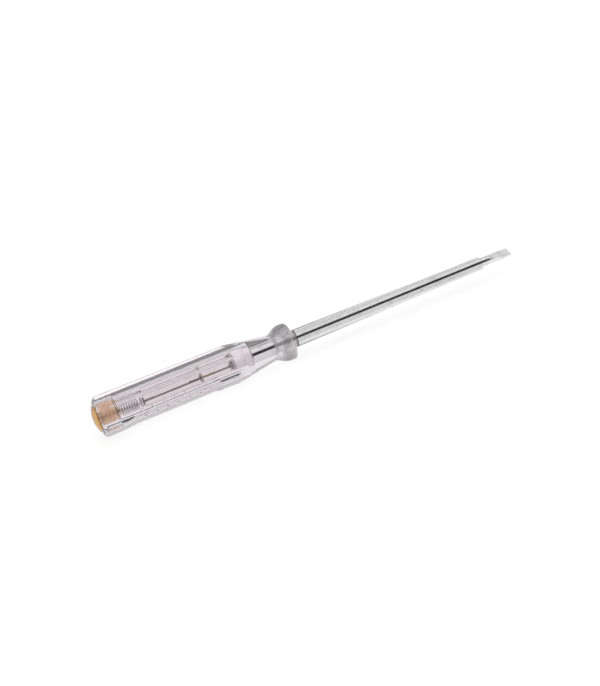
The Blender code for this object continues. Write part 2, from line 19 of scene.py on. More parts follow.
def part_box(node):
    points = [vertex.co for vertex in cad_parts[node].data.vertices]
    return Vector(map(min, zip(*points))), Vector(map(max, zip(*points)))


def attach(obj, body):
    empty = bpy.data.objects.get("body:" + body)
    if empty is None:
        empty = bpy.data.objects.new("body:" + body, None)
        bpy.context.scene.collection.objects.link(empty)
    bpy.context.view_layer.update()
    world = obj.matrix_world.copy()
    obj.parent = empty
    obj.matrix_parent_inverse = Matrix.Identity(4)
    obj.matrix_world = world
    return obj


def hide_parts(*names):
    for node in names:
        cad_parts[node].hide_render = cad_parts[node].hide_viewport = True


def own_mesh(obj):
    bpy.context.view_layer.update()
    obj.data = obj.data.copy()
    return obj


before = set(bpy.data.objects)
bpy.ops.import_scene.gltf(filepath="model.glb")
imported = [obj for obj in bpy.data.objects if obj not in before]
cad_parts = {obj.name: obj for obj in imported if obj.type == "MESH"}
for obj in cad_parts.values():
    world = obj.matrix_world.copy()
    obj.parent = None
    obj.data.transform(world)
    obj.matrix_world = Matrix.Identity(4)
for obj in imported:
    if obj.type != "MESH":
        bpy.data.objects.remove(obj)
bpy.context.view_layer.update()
log = logging.getLogger("voltage_tester")

TAU = 2 * math.pi
HEX_SIDES = 6
FLAT_TURN = math.pi / HEX_SIDES
PICTURE_HEIGHT = 686
WHITE = (1.0, 1.0, 1.0)
# The Mix node's sockets for colours.
MIX_FIRST, MIX_SECOND, MIX_RESULT = 6, 7, 2
# Share of a side that a rounding may take up at most, so that two of them never meet.
ROUNDING_REACH = 0.45

Pair = tuple[float, float]
Triple = tuple[float, float, float]
Outline = list[Pair]
Ring = list[Vector]
Socket = bpy.types.NodeSocket
Face = bpy.types.MeshPolygon


class Body(Enum):
    """The bodies that pieces ride on."""
    HANDLE = "handle"
    LAMP = "lamp"
    CAP_DISC = "cap_disc"
    CAP = "cap"


class Slot(Enum):
    """The record's material slots."""

    CLEAR = "clear_plastic"
    SLEEVE = "sleeve_plastic"
    CHROME = "chrome"
    BRASS = "brass"
    PALE_BRASS = "pale_brass"
    SPRING = "spring_steel"
    STEEL = "tinned_steel"
    NICKEL = "nickel"
    GLASS = "lamp_glass"
    BEAD = "glass_bead"
    MICA = "mica"
    CERAMIC = "resistor_ceramic"
    WHITE = "white_plastic"


class Value:
    """A number that varies over a surface: an output socket that takes part in arithmetic."""

    def __init__(self, sheet: "NodeSheet", socket: Socket) -> None:
        """Wraps one output socket of a node sheet."""
        self.sheet = sheet
        self.socket = socket

    def _math(self, operation: str, first: "Value | float", second: "Value | float") -> "Value":
        """One Math node on two numbers or values.

        Args:
            operation: the Math node's operation.
            first: its first input.
            second: its second input.

        Returns:
            The node's result.
        """
        node = self.sheet.add("ShaderNodeMath", {"operation": operation}, {0: first, 1: second})
        return Value(self.sheet, node.outputs[0])

    def __add__(self, other: "Value | float") -> "Value":
        """Sum."""
        return self._math("ADD", self, other)

    def __radd__(self, other: float) -> "Value":
        """Sum with a number on the left."""
        return self._math("ADD", other, self)

    def __sub__(self, other: "Value | float") -> "Value":
        """Difference."""
        return self._math("SUBTRACT", self, other)

    def __rsub__(self, other: float) -> "Value":
        """Difference from a number."""
        return self._math("SUBTRACT", other, self)

    def __mul__(self, other: "Value | float") -> "Value":
        """Product."""
        return self._math("MULTIPLY", self, other)

    def __rmul__(self, other: float) -> "Value":
        """Product with a number on the left."""
        return self._math("MULTIPLY", other, self)

    def arctan2(self, other: "Value") -> "Value":
        """Angle in radians of the point with this height and that distance."""
        return self._math("ARCTAN2", self, other)

    def maximum(self, other: "Value | float") -> "Value":
        """The larger of the two."""
        return self._math("MAXIMUM", self, other)

    def above(self, limit: float) -> "Value":
        """1 where this is larger than the limit, 0 elsewhere."""
        return self._math("GREATER_THAN", self, limit)

    def ramp(self, low: float, high: float) -> "Value":
        """Rises smoothly from 0 at low to 1 at high, and stays level outside them.

        Args:
            low: where the rise starts.
            high: where it ends; below low, it falls instead.

        Returns:
            The eased share.
        """
        links = {"Value": self, "From Min": min(low, high), "From Max": max(low, high)}
        node = self.sheet.add("ShaderNodeMapRange", {"interpolation_type": "SMOOTHSTEP"}, links)
        rise = Value(self.sheet, node.outputs[0])
        return rise if low < high else 1 - rise


class NodeSheet:
    """The nodes of one material or world, all added by one method."""

    def __init__(self, tree: bpy.types.NodeTree) -> None:
        """Takes a node tree and empties it."""
        self.tree = tree
        self.tree.nodes.clear()

    def add(self, kind: str, settings: dict | None = None, links: dict | None = None) -> bpy.types.Node:
        """Adds one node.

        Args:
            kind: the node's type.
            settings: its own settings, set first.
            links: its inputs by name or number, each a number, a colour, a Value or a socket.

        Returns:
            The new node.
        """
        node = self.tree.nodes.new(kind)
        for name, setting in (settings or {}).items():
            setattr(node, name, setting)
        for name, source in (links or {}).items():
            target = node.inputs[name]
            if isinstance(source, Value):
                self.tree.links.new(source.socket, target)
            elif isinstance(source, Socket):
                self.tree.links.new(source, target)
            elif isinstance(source, tuple) and target.type == "RGBA":
                target.default_value = (*source, 1.0)
            else:
                target.default_value = source
        return node

    def value(self, node: bpy.types.Node, output: str | int = 0) -> Value:
        """One output of a node as a value."""
        return Value(self, node.outputs[output])

    def place(self) -> Socket:
        """The point's place in the row frame, in metres."""
        return self.add("ShaderNodeTexCoord").outputs["Object"]

    def stretched(self, stretch: Triple) -> Socket:
        """The point's place with each of its numbers multiplied."""
        return self.add("ShaderNodeMapping", None, {"Vector": self.place(), "Scale": stretch}).outputs[0]

    def numbers(self, vector: Socket) -> tuple[Value, Value, Value]:
        """The three numbers of a vector."""
        parts = self.add("ShaderNodeSeparateXYZ", None, {0: vector})
        return self.value(parts, 0), self.value(parts, 1), self.value(parts, 2)

    def ray(self, output: str) -> Value:
        """What is known of the ray that looks, by the name of the light path's output."""
        return self.value(self.add("ShaderNodeLightPath"), output)

    def after_soft(self) -> Value:
        """1 for a ray that has met a soft surface before, 0 for others."""
        return self.ray("Diffuse Depth").above(0.0)

    def noise(self, scale: float, detail: float = 2.0, vector: Socket | None = None) -> Value:
        """Cloudy noise from 0 to 1.

        Args:
            scale: features a metre.
            detail: octaves.
            vector: where it is read; the point's own place if left out.

        Returns:
            The noise.
        """
        links = {"Vector": vector or self.place(), "Scale": scale, "Detail": detail}
        return self.value(self.add("ShaderNodeTexNoise", None, links))

    def colour_mix(self, share: Value, first: Triple, second: Triple) -> Socket:
        """A colour between two.

        Args:
            share: 0 for the first, 1 for the second.
            first: first colour, linear.
            second: second colour, linear.

        Returns:
            The mixed colour.
        """
        links = {0: share, MIX_FIRST: first, MIX_SECOND: second}
        return self.add("ShaderNodeMix", {"data_type": "RGBA"}, links).outputs[MIX_RESULT]

    def bump(self, height: Value, distance: float) -> Socket:
        """A normal bent by a height, of which 1 is the distance in metres."""
        return self.add("ShaderNodeBump", None, {"Height": height, "Distance": distance}).outputs[0]

    def scratches(self, scale: float, stretch: Triple, width: float) -> Value:
        """Fine scratches: thin lines where stretched noise crosses its middle level.

        Args:
            scale: how many features a metre across the scratches.
            stretch: share of that scale along each axis, small along the scratches.
            width: half width of a line, as a share of the noise's range.

        Returns:
            1 on a scratch, 0 beside it.
        """
        middle = 0.5
        away = self.noise(scale, detail=3.0, vector=self.stretched(stretch)) - middle
        return (away * away).ramp(width * width, 0.0)


@dataclass(frozen=True)
class Finish:
    """What every finish has: a name, and a Principled shader that its own nodes feed."""

    name: str

    def material(self) -> bpy.types.Material:
        """Builds the finish.

        Returns:
            A new material.
        """
        material = bpy.data.materials.new(self.name)
        material.use_nodes = True
        sheet = NodeSheet(material.node_tree)
        shader = sheet.add("ShaderNodeBsdfPrincipled", None, self.sockets(sheet))
        sheet.add("ShaderNodeOutputMaterial", None, {"Surface": shader.outputs[0]})
        return material

    def sockets(self, sheet: NodeSheet) -> dict:
        """The shader's sockets by name; each finish has its own."""
        raise NotImplementedError


@dataclass(frozen=True)
class Frost:
    """A frosted stretch of a clear moulding, which comes in along the tool; depth counts in its waviness."""

    start: float
    full: float
    roughness: float = 0.20
    depth: float = 60.0
    scale: float = 1600.0


@dataclass(frozen=True)
class ClearFinish(Finish):
    """Clear moulded plastic or glass: faint tint, slight waviness of its skin, fine scratches.

    The depth of the scratches counts in the waviness.
    """

    tint: Triple
    edge_tint: Triple
    ior: float = 1.49
    roughness: float = 0.02
    cloud_scale: float = 150.0
    cloud_range: Pair = (0.35, 0.75)
    scratch_scale: float = 900.0
    scratch_roughness: float = 0.22
    scratch_depth: float = 0.3
    long_stretch: Triple = (0.06, 1.0, 1.0)
    long_width: float = 0.006
    cross_stretch: Triple = (1.0, 0.16, 0.16)
    cross_width: float = 0.004
    cross_share: float = 0.7
    waviness: float = 0.000004
    wave_scale: float = 450.0
    shadow_pass: float = 0.9
    frost: Frost | None = None

    def sockets(self, sheet: NodeSheet) -> dict:
        """Sockets of a clear shell, which lets most light through in its shadow.

        Args:
            sheet: where the nodes go.

        Returns:
            The shader's sockets by name.
        """
        cloud = sheet.noise(self.cloud_scale, detail=3.0).ramp(*self.cloud_range)
        lines = sheet.scratches(self.scratch_scale, self.long_stretch, self.long_width)
        across = sheet.scratches(self.scratch_scale, self.cross_stretch, self.cross_width)
        wear = lines.maximum(across * self.cross_share)
        height = sheet.noise(self.wave_scale, detail=1.0) - wear * self.scratch_depth
        roughness = self.roughness + wear * self.scratch_roughness
        if self.frost:
            along, _, _ = sheet.numbers(sheet.place())
            share = along.ramp(self.frost.start, self.frost.full)
            height = height + share * sheet.noise(self.frost.scale, detail=3.0) * self.frost.depth
            roughness = roughness + share * self.frost.roughness
        return {
            "Base Color": sheet.colour_mix(cloud, self.tint, self.edge_tint),
            "Roughness": roughness,
            "Alpha": 1 - sheet.ray("Is Shadow Ray") * self.shadow_pass,
            "Normal": sheet.bump(height, self.waviness),
            "Transmission Weight": 1.0,
            "IOR": self.ior,
        }


@dataclass(frozen=True)
class MetalFinish(Finish):
    """Drawn, turned or ground metal: colour with slight tarnish and fine tool lines."""

    bright: Triple = (0.80, 0.80, 0.80)
    tarnish: Triple = (0.66, 0.65, 0.64)
    roughness: float = 0.10
    line_roughness: float = 0.10
    line_scale: float = 5000.0
    line_stretch: Triple = (0.02, 1.0, 1.0)
    line_depth: float = 0.0000012
    blotch_scale: float = 260.0
    blotch_range: Pair = (0.42, 0.78)
    blotch_roughness: float = 0.06
    metallic: float = 1.0

    def sockets(self, sheet: NodeSheet) -> dict:
        """Sockets of a worked metal surface.

        Args:
            sheet: where the nodes go.

        Returns:
            The shader's sockets by name.
        """
        blotch = sheet.noise(self.blotch_scale, detail=4.0).ramp(*self.blotch_range)
        lines = sheet.noise(self.line_scale, vector=sheet.stretched(self.line_stretch))
        return {
            "Base Color": sheet.colour_mix(blotch, self.bright, self.tarnish),
            "Metallic": self.metallic,
            "Roughness": self.roughness + lines * self.line_roughness + blotch * self.blotch_roughness,
            "Normal": sheet.bump(lines, self.line_depth),
        }


@dataclass(frozen=True)
class MouldedFinish(Finish):
    """Opaque moulded or fired material: soft mottling and a fine grain."""

    colour: Triple = (0.94, 0.93, 0.94)
    shade: Triple = (0.86, 0.84, 0.85)
    roughness: float = 0.42
    mottle_scale: float = 700.0
    mottle_range: Pair = (0.38, 0.72)
    grain_scale: float = 6000.0
    grain_roughness: float = 0.16
    grain_depth: float = 0.000006

    def sockets(self, sheet: NodeSheet) -> dict:
        """Sockets of a satin, slightly grainy surface.

        Args:
            sheet: where the nodes go.

        Returns:
            The shader's sockets by name.
        """
        mottle = sheet.noise(self.mottle_scale, detail=3.0).ramp(*self.mottle_range)
        grain = sheet.noise(self.grain_scale)
        return {
            "Base Color": sheet.colour_mix(mottle, self.colour, self.shade),
            "Roughness": self.roughness + grain * self.grain_roughness,
            "Normal": sheet.bump(grain, self.grain_depth),
        }


@dataclass(frozen=True)
class SheetFinish(Finish):
    """Thin mica: pale, layered, slightly pearly."""

    colour: Triple = (0.75, 0.68, 0.58)
    layer: Triple = (0.60, 0.52, 0.42)
    layer_scale: float = 2400.0
    layer_range: Pair = (0.4, 0.6)
    layer_depth: float = 0.000008
    roughness: float = 0.3
    layer_roughness: float = 0.15

    def sockets(self, sheet: NodeSheet) -> dict:
        """Sockets of a layered sheet.

        Args:
            sheet: where the nodes go.

        Returns:
            The shader's sockets by name.
        """
        layers = sheet.noise(self.layer_scale, detail=4.0).ramp(*self.layer_range)
        return {
            "Base Color": sheet.colour_mix(layers, self.colour, self.layer),
            "Roughness": self.roughness + layers * self.layer_roughness,
            "Normal": sheet.bump(layers, self.layer_depth),
        }


CLEAR = ClearFinish(
    "clear handle plastic",
    tint=(0.955, 0.905, 0.945),
    edge_tint=(0.925, 0.87, 0.915),
    shadow_pass=0.97,
    frost=Frost(start=-0.0235, full=-0.0200),
)
SLEEVE_CLEAR = ClearFinish(
    "clear sleeve plastic", tint=(0.97, 0.97, 0.97), edge_tint=(0.93, 0.93, 0.94), ior=1.47
)
TUBE_GLASS = ClearFinish(
    "lamp tube glass",
    tint=(0.985, 0.982, 0.965),
    edge_tint=(0.97, 0.963, 0.945),
    ior=1.50,
    roughness=0.01,
    waviness=0.000002,
)
PLATED = MetalFinish("bright plated steel")
GROUND = MetalFinish(
    "ground plated blade",
    bright=(0.72, 0.71, 0.70),
    tarnish=(0.58, 0.57, 0.56),
    roughness=0.30,
    line_scale=4200.0,
    line_stretch=(1.0, 0.05, 0.05),
    line_depth=0.000004,
)
BRASS = MetalFinish(
    "turned brass",
    bright=(0.66, 0.385, 0.125),
    tarnish=(0.47, 0.245, 0.075),
    roughness=0.26,
    line_stretch=(1.0, 0.05, 0.05),
    line_depth=0.000003,
)
PALE_BRASS = MetalFinish(
    "pale brass", bright=(0.80, 0.66, 0.45), tarnish=(0.66, 0.50, 0.32), roughness=0.28
)
# The cap's brass made paler and less metallic for the shank: painted light, standing in for the white
# surroundings that the shank reflects inside the clear handle.
SHANK_BRASS_PAINTED_LIGHT = MetalFinish(
    "threaded shank, brass with painted light",
    bright=(0.95, 0.73, 0.52),
    tarnish=(0.85, 0.60, 0.38),
    roughness=0.42,
    line_stretch=(1.0, 0.05, 0.05),
    line_depth=0.000002,
    metallic=0.7,
)
SPRING_WIRE = MetalFinish(
    "spring wire",
    bright=(0.72, 0.70, 0.70),
    tarnish=(0.55, 0.53, 0.53),
    roughness=0.26,
    line_scale=9000.0,
    metallic=0.7,
)
TINNED = MetalFinish(
    "tinned steel", bright=(0.42, 0.38, 0.30), tarnish=(0.26, 0.23, 0.17), roughness=0.32
)
PALE_PLATE = MetalFinish(
    "pale nickel plate",
    bright=(0.92, 0.89, 0.88),
    tarnish=(0.84, 0.80, 0.78),
    roughness=0.55,
    metallic=0.25,
)
DARK_NICKEL = MetalFinish(
    "dark nickel", bright=(0.30, 0.27, 0.20), tarnish=(0.18, 0.15, 0.11), roughness=0.38
)
PLATED_BRASS = MetalFinish(
    "brass plated rod", bright=(0.62, 0.44, 0.16), tarnish=(0.45, 0.29, 0.10), roughness=0.26
)
WHITE_PLASTIC = MouldedFinish("white moulded plastic")
CERAMIC = MouldedFinish(
    "coated ceramic",
    colour=(0.62, 0.52, 0.42),
    shade=(0.50, 0.40, 0.31),
    roughness=0.5,
    grain_depth=0.00001,
)
FUSED_BEAD = MouldedFinish(
    "fused glass bead",
    colour=(0.22, 0.18, 0.12),
    shade=(0.12, 0.09, 0.06),
    roughness=0.12,
    grain_depth=0.000003,
)
MICA = SheetFinish("mica sheet")


def ease(share: float) -> float:
    """A share from 0 to 1 with a level start and a level end."""
    share = min(max(share, 0.0), 1.0)
    return share * share * (3 - 2 * share)


def spread(low: float, high: float, steps: int) -> list[float]:
    """Evenly spaced numbers from low to high, both included."""
    return [low + (high - low) * k / steps for k in range(steps + 1)]


def bulge(radius: float, off: float) -> float:
    """Height of a circle over its middle, at a distance to the side; 0 beyond its edge."""
    return math.sqrt(max(radius**2 - off**2, 0.0))


def arc(middle: Pair, radius: float, start: float, end: float, steps: int) -> Outline:
    """An arc of an outline.

    Args:
        middle: its centre as (distance, radius).
        radius: its own radius.
        start: angle of its first point, from the +X side towards larger radii.
        end: angle of its last point.
        steps: number of points, less one.

    Returns:
        Its points as (distance, radius).
    """
    along, out = middle
    turns = spread(start, end, steps)
    return [(along + radius * math.cos(turn), out + radius * math.sin(turn)) for turn in turns]


def stairs(places: Sequence[float], radii: Sequence[float]) -> Outline:
    """A stepped outline, in which each radius holds from one place to the next."""
    treads = zip(places, places[1:], radii)
    return [(place, radius) for start, end, radius in treads for place in (start, end)]


def rounded(outline: Outline, radius: float, steps: int) -> Outline:
    """Rounds the corners of an outline.

    Args:
        outline: points as (distance, radius).
        radius: the rounding's radius, less where a side is too short for it.
        steps: points on each rounding, less one.

    Returns:
        The outline with a curve in place of each inner point.
    """
    points = [Vector(point) for point in outline]
    smooth = [tuple(points[0])]
    for before, here, after in zip(points, points[1:], points[2:]):
        back, on = before - here, after - here
        room = min(back.length, on.length) * ROUNDING_REACH
        reach = min(radius / math.tan(back.angle(on) / 2), room)
        start, end = here + back.normalized() * reach, here + on.normalized() * reach
        for share in spread(0.0, 1.0, steps):
            bend = start.lerp(here, share).lerp(here.lerp(end, share), share)
            smooth.append(tuple(bend))
    smooth.append(tuple(points[-1]))
    return smooth


def capped(outer: Outline, flats: Pair, radius: float, steps: int = 4) -> Outline:
    """Rounds an outer outline and closes it on the axis at both ends.

    Args:
        outer: points as (distance, radius), from one end face to the other.
        flats: radii of the flat middles of its rear end and of its front end.
        radius: the rounding's radius.
        steps: points on each rounding, less one.

    Returns:
        The closed outline.
    """
    rear, front = outer[0][0], outer[-1][0]
    smooth = rounded([(rear, flats[0]), *outer, (front, flats[1])], radius, steps)
    return [(rear, 0.0), *smooth, (front, 0.0)]


def bored(outer: Outline, bore: float, radius: float, steps: int = 4) -> Outline:
    """Rounds an outer outline and closes it through a plain bore.

    Args:
        outer: points as (distance, radius), from one end face to the other.
        bore: the bore's radius.
        radius: the rounding's radius.
        steps: points on each rounding, less one.

    Returns:
        The closed outline, which starts in the middle of the bore.
    """
    rear, front = outer[0][0], outer[-1][0]
    middle = ((rear + front) / 2, bore)
    return rounded([middle, (rear, bore), *outer, (front, bore), middle], radius, steps)[:-1]


def placed(name: str, data: bpy.types.ID) -> bpy.types.Object:
    """Adds an object to the scene for a mesh, a curve, a light or a camera.

    Args:
        name: the object's name.
        data: what it shows.

    Returns:
        The new object.
    """
    thing = bpy.data.objects.new(name, data)
    bpy.context.scene.collection.objects.link(thing)
    return thing


def meshed(name: str, shape: bmesh.types.BMesh) -> bpy.types.Object:
    """Adds a finished shape to the scene as a mesh object, and frees the shape.

    Args:
        name: the object's and the mesh's name.
        shape: the shape.

    Returns:
        The new object.
    """
    mesh = bpy.data.meshes.new(name)
    shape.to_mesh(mesh)
    shape.free()
    return placed(name, mesh)


@dataclass(frozen=True)
class Axis:
    """The tool's axis in the row frame."""

    rear: float
    height: float

    def point(self, distance: float, radius: float = 0.0, turn: float = 0.0) -> Vector:
        """A point by its place along the axis, its distance from it and its turn from +Y towards +Z."""
        side, rise = radius * math.cos(turn), radius * math.sin(turn)
        return Vector((self.rear + distance, side, self.height + rise))

    def ring(self, distance: float, radius: float, around: int) -> Ring:
        """A ring of evenly spaced points, or one point where the radius is 0.

        Args:
            distance: place along the axis.
            radius: the ring's radius.
            around: number of points.

        Returns:
            The points.
        """
        count = around if radius else 1
        return [self.point(distance, radius, TAU * k / around) for k in range(count)]


class Piece:
    """How a visible piece is made: its mesh, and the finish and body that it takes."""

    @staticmethod
    def from_rings(name: str, rings: Sequence[Ring], looped: bool = False) -> bpy.types.Object:
        """Skins a row of rings.

        Args:
            name: the piece's name.
            rings: rings with equal numbers of points; the first and the last may be one point.
            looped: whether the last ring joins the first.

        Returns:
            A new mesh object with its faces outwards.
        """
        shape = bmesh.new()
        rows = [[shape.verts.new(point) for point in ring] for ring in rings]
        pairs = list(zip(rows, rows[1:]))
        if looped:
            pairs.append((rows[-1], rows[0]))
        for row, following in pairs:
            count = max(len(row), len(following))
            for k in range(count):
                corners = [row[k % len(row)], row[(k + 1) % len(row)]]
                corners += [following[(k + 1) % len(following)], following[k % len(following)]]
                shape.faces.new(list(dict.fromkeys(corners)))
        bmesh.ops.recalc_face_normals(shape, faces=shape.faces)
        return meshed(name, shape)

    @staticmethod
    def turned(name: str, axis: Axis, outline: Outline, steps: int, looped: bool = False) -> bpy.types.Object:
        """Turns an outline about the tool's axis.

        Args:
            name: the piece's name.
            axis: the tool's axis.
            outline: points as (distance, radius); the ends of an open outline lie on the axis.
            steps: points round the axis.
            looped: whether the outline is closed, as a tube's is.

        Returns:
            A new mesh object.
        """
        rings = [axis.ring(distance, radius, steps) for distance, radius in outline]
        return Piece.from_rings(name, rings, looped)

    @staticmethod
    def dress(
        piece: bpy.types.Object,
        finish: Finish,
        slot: Slot,
        body: Body,
        node: str,
        crease_deg: float = 40.0,
    ) -> None:
        """Shades a piece smooth, gives it its finish and lets it stand for its solid.

        Args:
            piece: the mesh object.
            finish: its finish.
            slot: the record's material slot; not used.
            body: the body that it rides on.
            node: the solid that it replaces.
            crease_deg: edges sharper than this stay sharp.
        """
        piece.data.materials.append(finish.material())
        piece.data.shade_smooth()
        piece.data.set_sharp_from_angle(angle=math.radians(crease_deg))
        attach(piece, body.value)
        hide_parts(node)
        log.info("%s: %d faces, for %s on %s", piece.name, len(piece.data.polygons), node, body.value)

    @staticmethod
    def dress_part(piece: bpy.types.Object, finish: Finish, chosen: Callable[[Face], bool]) -> None:
        """Gives some faces of a dressed piece a second finish.

        Args:
            piece: the mesh object.
            finish: the second finish.
            chosen: tells whether a face takes it.
        """
        piece.data.materials.append(finish.material())
        for face in piece.data.polygons:
            face.material_index = int(chosen(face))


@dataclass
class SubAssembly:
    """What every sub-assembly has: the tool's axis, the measures of its solids, a way to turn plain bars."""

    axis: Axis

    def span(self, node: str) -> Triple:
        """A solid's rear end and front end along the axis, and its half width.

        Args:
            node: the solid's name.

        Returns:
            Rear distance, front distance and half the width across +Y.
        """
        low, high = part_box(node)
        return low.x - self.axis.rear, high.x - self.axis.rear, (high.y - low.y) / 2

    def bar(self, name: str, node: str, edge: float, around: int, flat: float = 0.5) -> bpy.types.Object:
        """Turns a plain bar or disc with rounded rims.

        Args:
            name: the piece's name.
            node: the solid that it stands for.
            edge: rounding of its rims.
            around: points round the axis.
            flat: share of its radius that each end's flat middle takes.

        Returns:
            A new mesh object.
        """
        rear, front, radius = self.span(node)
        outer = [(rear, radius), (front, radius)]
        outline = capped(outer, (radius * flat, radius * flat), edge)
        return Piece.turned(name, self.axis, outline, around)


@dataclass
class Handle(SubAssembly):
    """The clear handle: six-sided grip, round taper, flare and guard, boss, stepped bore, side panel."""

    flats: float = 0.0140
    corner_radius: float = 0.0008
    rear_radius: float = 0.0022
    mouth_radius: float = 0.0045
    mouth_depth: float = 0.0072
    mouth_chamfer: float = 0.0003
    chamber_radius: float = 0.0038
    chamber_front: float = 0.0613
    rod_radius: float = 0.0020
    rod_grip: float = 0.00004
    guard_face: float = 0.0790
    guard_radius: float = 0.00745
    guard_land: float = 0.0021
    guard_edge: float = 0.0005
    flare_length: float = 0.0063
    flare_overlap: float = 0.0008
    taper_length: float = 0.0179
    neck_radius: float = 0.0052
    boss_radius: float = 0.0037
    boss_front: float = 0.0812
    boss_edge: float = 0.0002
    panel_normal_deg: float = 210.0
    panel_start: float = 0.0070
    panel_rear_ramp: float = 0.0068
    panel_floor: float = 0.0307
    panel_front_ramp: float = 0.0035
    panel_depth: float = 0.0006
    bar_count: int = 7
    bar_height: float = 0.0003
    bar_width: float = 0.0013
    bar_length: float = 0.0042
    bar_edge: float = 0.0002
    corner_points: int = 8
    flat_points: int = 22
    rear_points: int = 14
    edge_points: int = 8
    fine_step: float = 0.00016
    taper_step: float = 0.00032
    plain_step: float = 0.0012

    @property
    def flare_start(self) -> float:
        """Where the flare grows out of the neck."""
        return self.guard_face - self.guard_land - self.flare_length

    @property
    def neck(self) -> float:
        """Where the taper has come down to the neck."""
        return self.flare_start + self.flare_overlap

    @property
    def edge_start(self) -> float:
        """Where the guard's front edge starts to round."""
        return self.guard_face - self.guard_edge

    @property
    def panel_end(self) -> float:
        """Where the side panel's front ramp ends."""
        return self.panel_start + self.panel_rear_ramp + self.panel_floor + self.panel_front_ramp

    @property
    def corner_centre(self) -> float:
        """Distance from the axis to the centre of a corner's rounding."""
        return (self.flats / 2 - self.corner_radius) / math.cos(FLAT_TURN)

    @property
    def corner_reach(self) -> float:
        """Angle about the axis from the middle of a corner to where its flat starts."""
        beside, beyond = self.corner_radius * math.sin(FLAT_TURN), self.corner_radius * math.cos(FLAT_TURN)
        return math.atan2(beside, self.corner_centre + beyond)

    def envelope(self, distance: float) -> float:
        """The turned outline that rounds the rear end and cuts the front down to the neck.

        Args:
            distance: place along the axis.

        Returns:
            Its radius.
        """
        corner = self.corner_centre + self.corner_radius
        rear = corner - self.rear_radius + bulge(self.rear_radius, max(self.rear_radius - distance, 0.0))
        share = max(distance - self.neck + self.taper_length, 0.0) / self.taper_length
        return min(rear, corner + (self.neck_radius - corner) * share)

    def flare(self, distance: float) -> float:
        """The turned outline of the flare, the guard and its rounded front edge.

        Args:
            distance: place along the axis.

        Returns:
            Its radius, 0 behind the flare.
        """
        if distance < self.flare_start:
            return 0.0
        if distance > self.edge_start:
            return self.guard_radius - self.guard_edge + bulge(self.guard_edge, distance - self.edge_start)
        rise = ease((distance - self.flare_start) / self.flare_length)
        return self.neck_radius + (self.guard_radius - self.neck_radius) * rise

    def panel_cut(self, distance: float, across: float) -> float:
        """How deep the side panel lies under its flat, less the low bars on its floor.

        Args:
            distance: place along the axis.
            across: place across the flat, from its middle.

        Returns:
            The depth, in metres.
        """
        floor_start = self.panel_start + self.panel_rear_ramp
        floor_end = floor_start + self.panel_floor
        rise = ease((distance - self.panel_start) / self.panel_rear_ramp)
        fall = ease((floor_end + self.panel_front_ramp - distance) / self.panel_front_ramp)
        depth = self.panel_depth * min(rise, fall)
        pitch = self.panel_floor / self.bar_count
        if floor_start < distance < floor_end:
            off = abs((distance - floor_start) % pitch - pitch / 2)
            long_share = ease((self.bar_width / 2 - off) / self.bar_edge)
            side_share = ease((self.bar_length / 2 - abs(across)) / self.bar_edge)
            depth -= self.bar_height * long_share * side_share
        return depth

    def turns(self) -> list[float]:
        """Angles of a ring's points: a few round each corner, then evenly across each flat.

        Returns:
            The angles, in radians.
        """
        half = self.flats / 2
        reach = self.corner_reach
        side = half * math.tan(FLAT_TURN - reach)
        angles = []
        for k in range(HEX_SIDES):
            corner = TAU * k / HEX_SIDES
            angles += [corner + turn for turn in spread(-reach, reach, self.corner_points)]
            for place in spread(-side, side, self.flat_points)[1:-1]:
                angles.append(corner + FLAT_TURN + math.atan2(place, half))
        return angles

    def grip_radius(self, turn: float) -> float:
        """Distance from the axis to a hexagon with rounded corners.

        Args:
            turn: angle about the axis.

        Returns:
            The distance.
        """
        off = (turn + FLAT_TURN) % (2 * FLAT_TURN) - FLAT_TURN
        if abs(off) < self.corner_reach:
            along, beside = self.corner_centre * math.cos(off), self.corner_centre * math.sin(off)
            return along + bulge(self.corner_radius, beside)
        return self.flats / 2 / math.cos(FLAT_TURN - abs(off))

    def outer_ring(self, distance: float) -> Ring:
        """The handle's outer surface at one distance.

        Args:
            distance: place along the axis.

        Returns:
            One ring of points.
        """
        half = self.flats / 2
        normal = math.radians(self.panel_normal_deg)
        limit = self.envelope(distance)
        flare = self.flare(distance)
        ring = []
        for turn in self.turns():
            radius = self.grip_radius(turn)
            off = (turn - normal + math.pi) % TAU - math.pi
            if abs(off) < 2 * FLAT_TURN:
                cut = self.panel_cut(distance, half * math.tan(off))
                if cut > 0:
                    radius = min(radius, (half - cut) / math.cos(off))
            ring.append(self.axis.point(distance, max(min(radius, limit), flare), turn))
        return ring

    def round_ring(self, distance: float, radius: float) -> Ring:
        """A round ring whose points share the outer rings' angles."""
        return [self.axis.point(distance, radius, turn) for turn in self.turns()]

    def stations(self) -> list[float]:
        """Distances of the outer rings: close together where the surface changes fast.

        Returns:
            The distances, from the rear face to the guard's front face.
        """
        quarter = math.pi / 2
        places = [self.rear_radius * (1 - math.cos(turn)) for turn in spread(0.0, quarter, self.rear_points)]
        taper_start = self.neck - self.taper_length
        stretches = (
            (self.rear_radius, self.panel_start, self.plain_step),
            (self.panel_start, self.panel_end, self.fine_step),
            (self.panel_end, taper_start, self.plain_step),
            (taper_start, self.flare_start, self.taper_step),
            (self.flare_start, self.edge_start, self.fine_step),
        )
        for low, high, step in stretches:
            places += spread(low, high, round((high - low) / step))[1:]
        for turn in spread(0.0, quarter, self.edge_points)[1:]:
            places.append(self.edge_start + self.guard_edge * math.sin(turn))
        return places

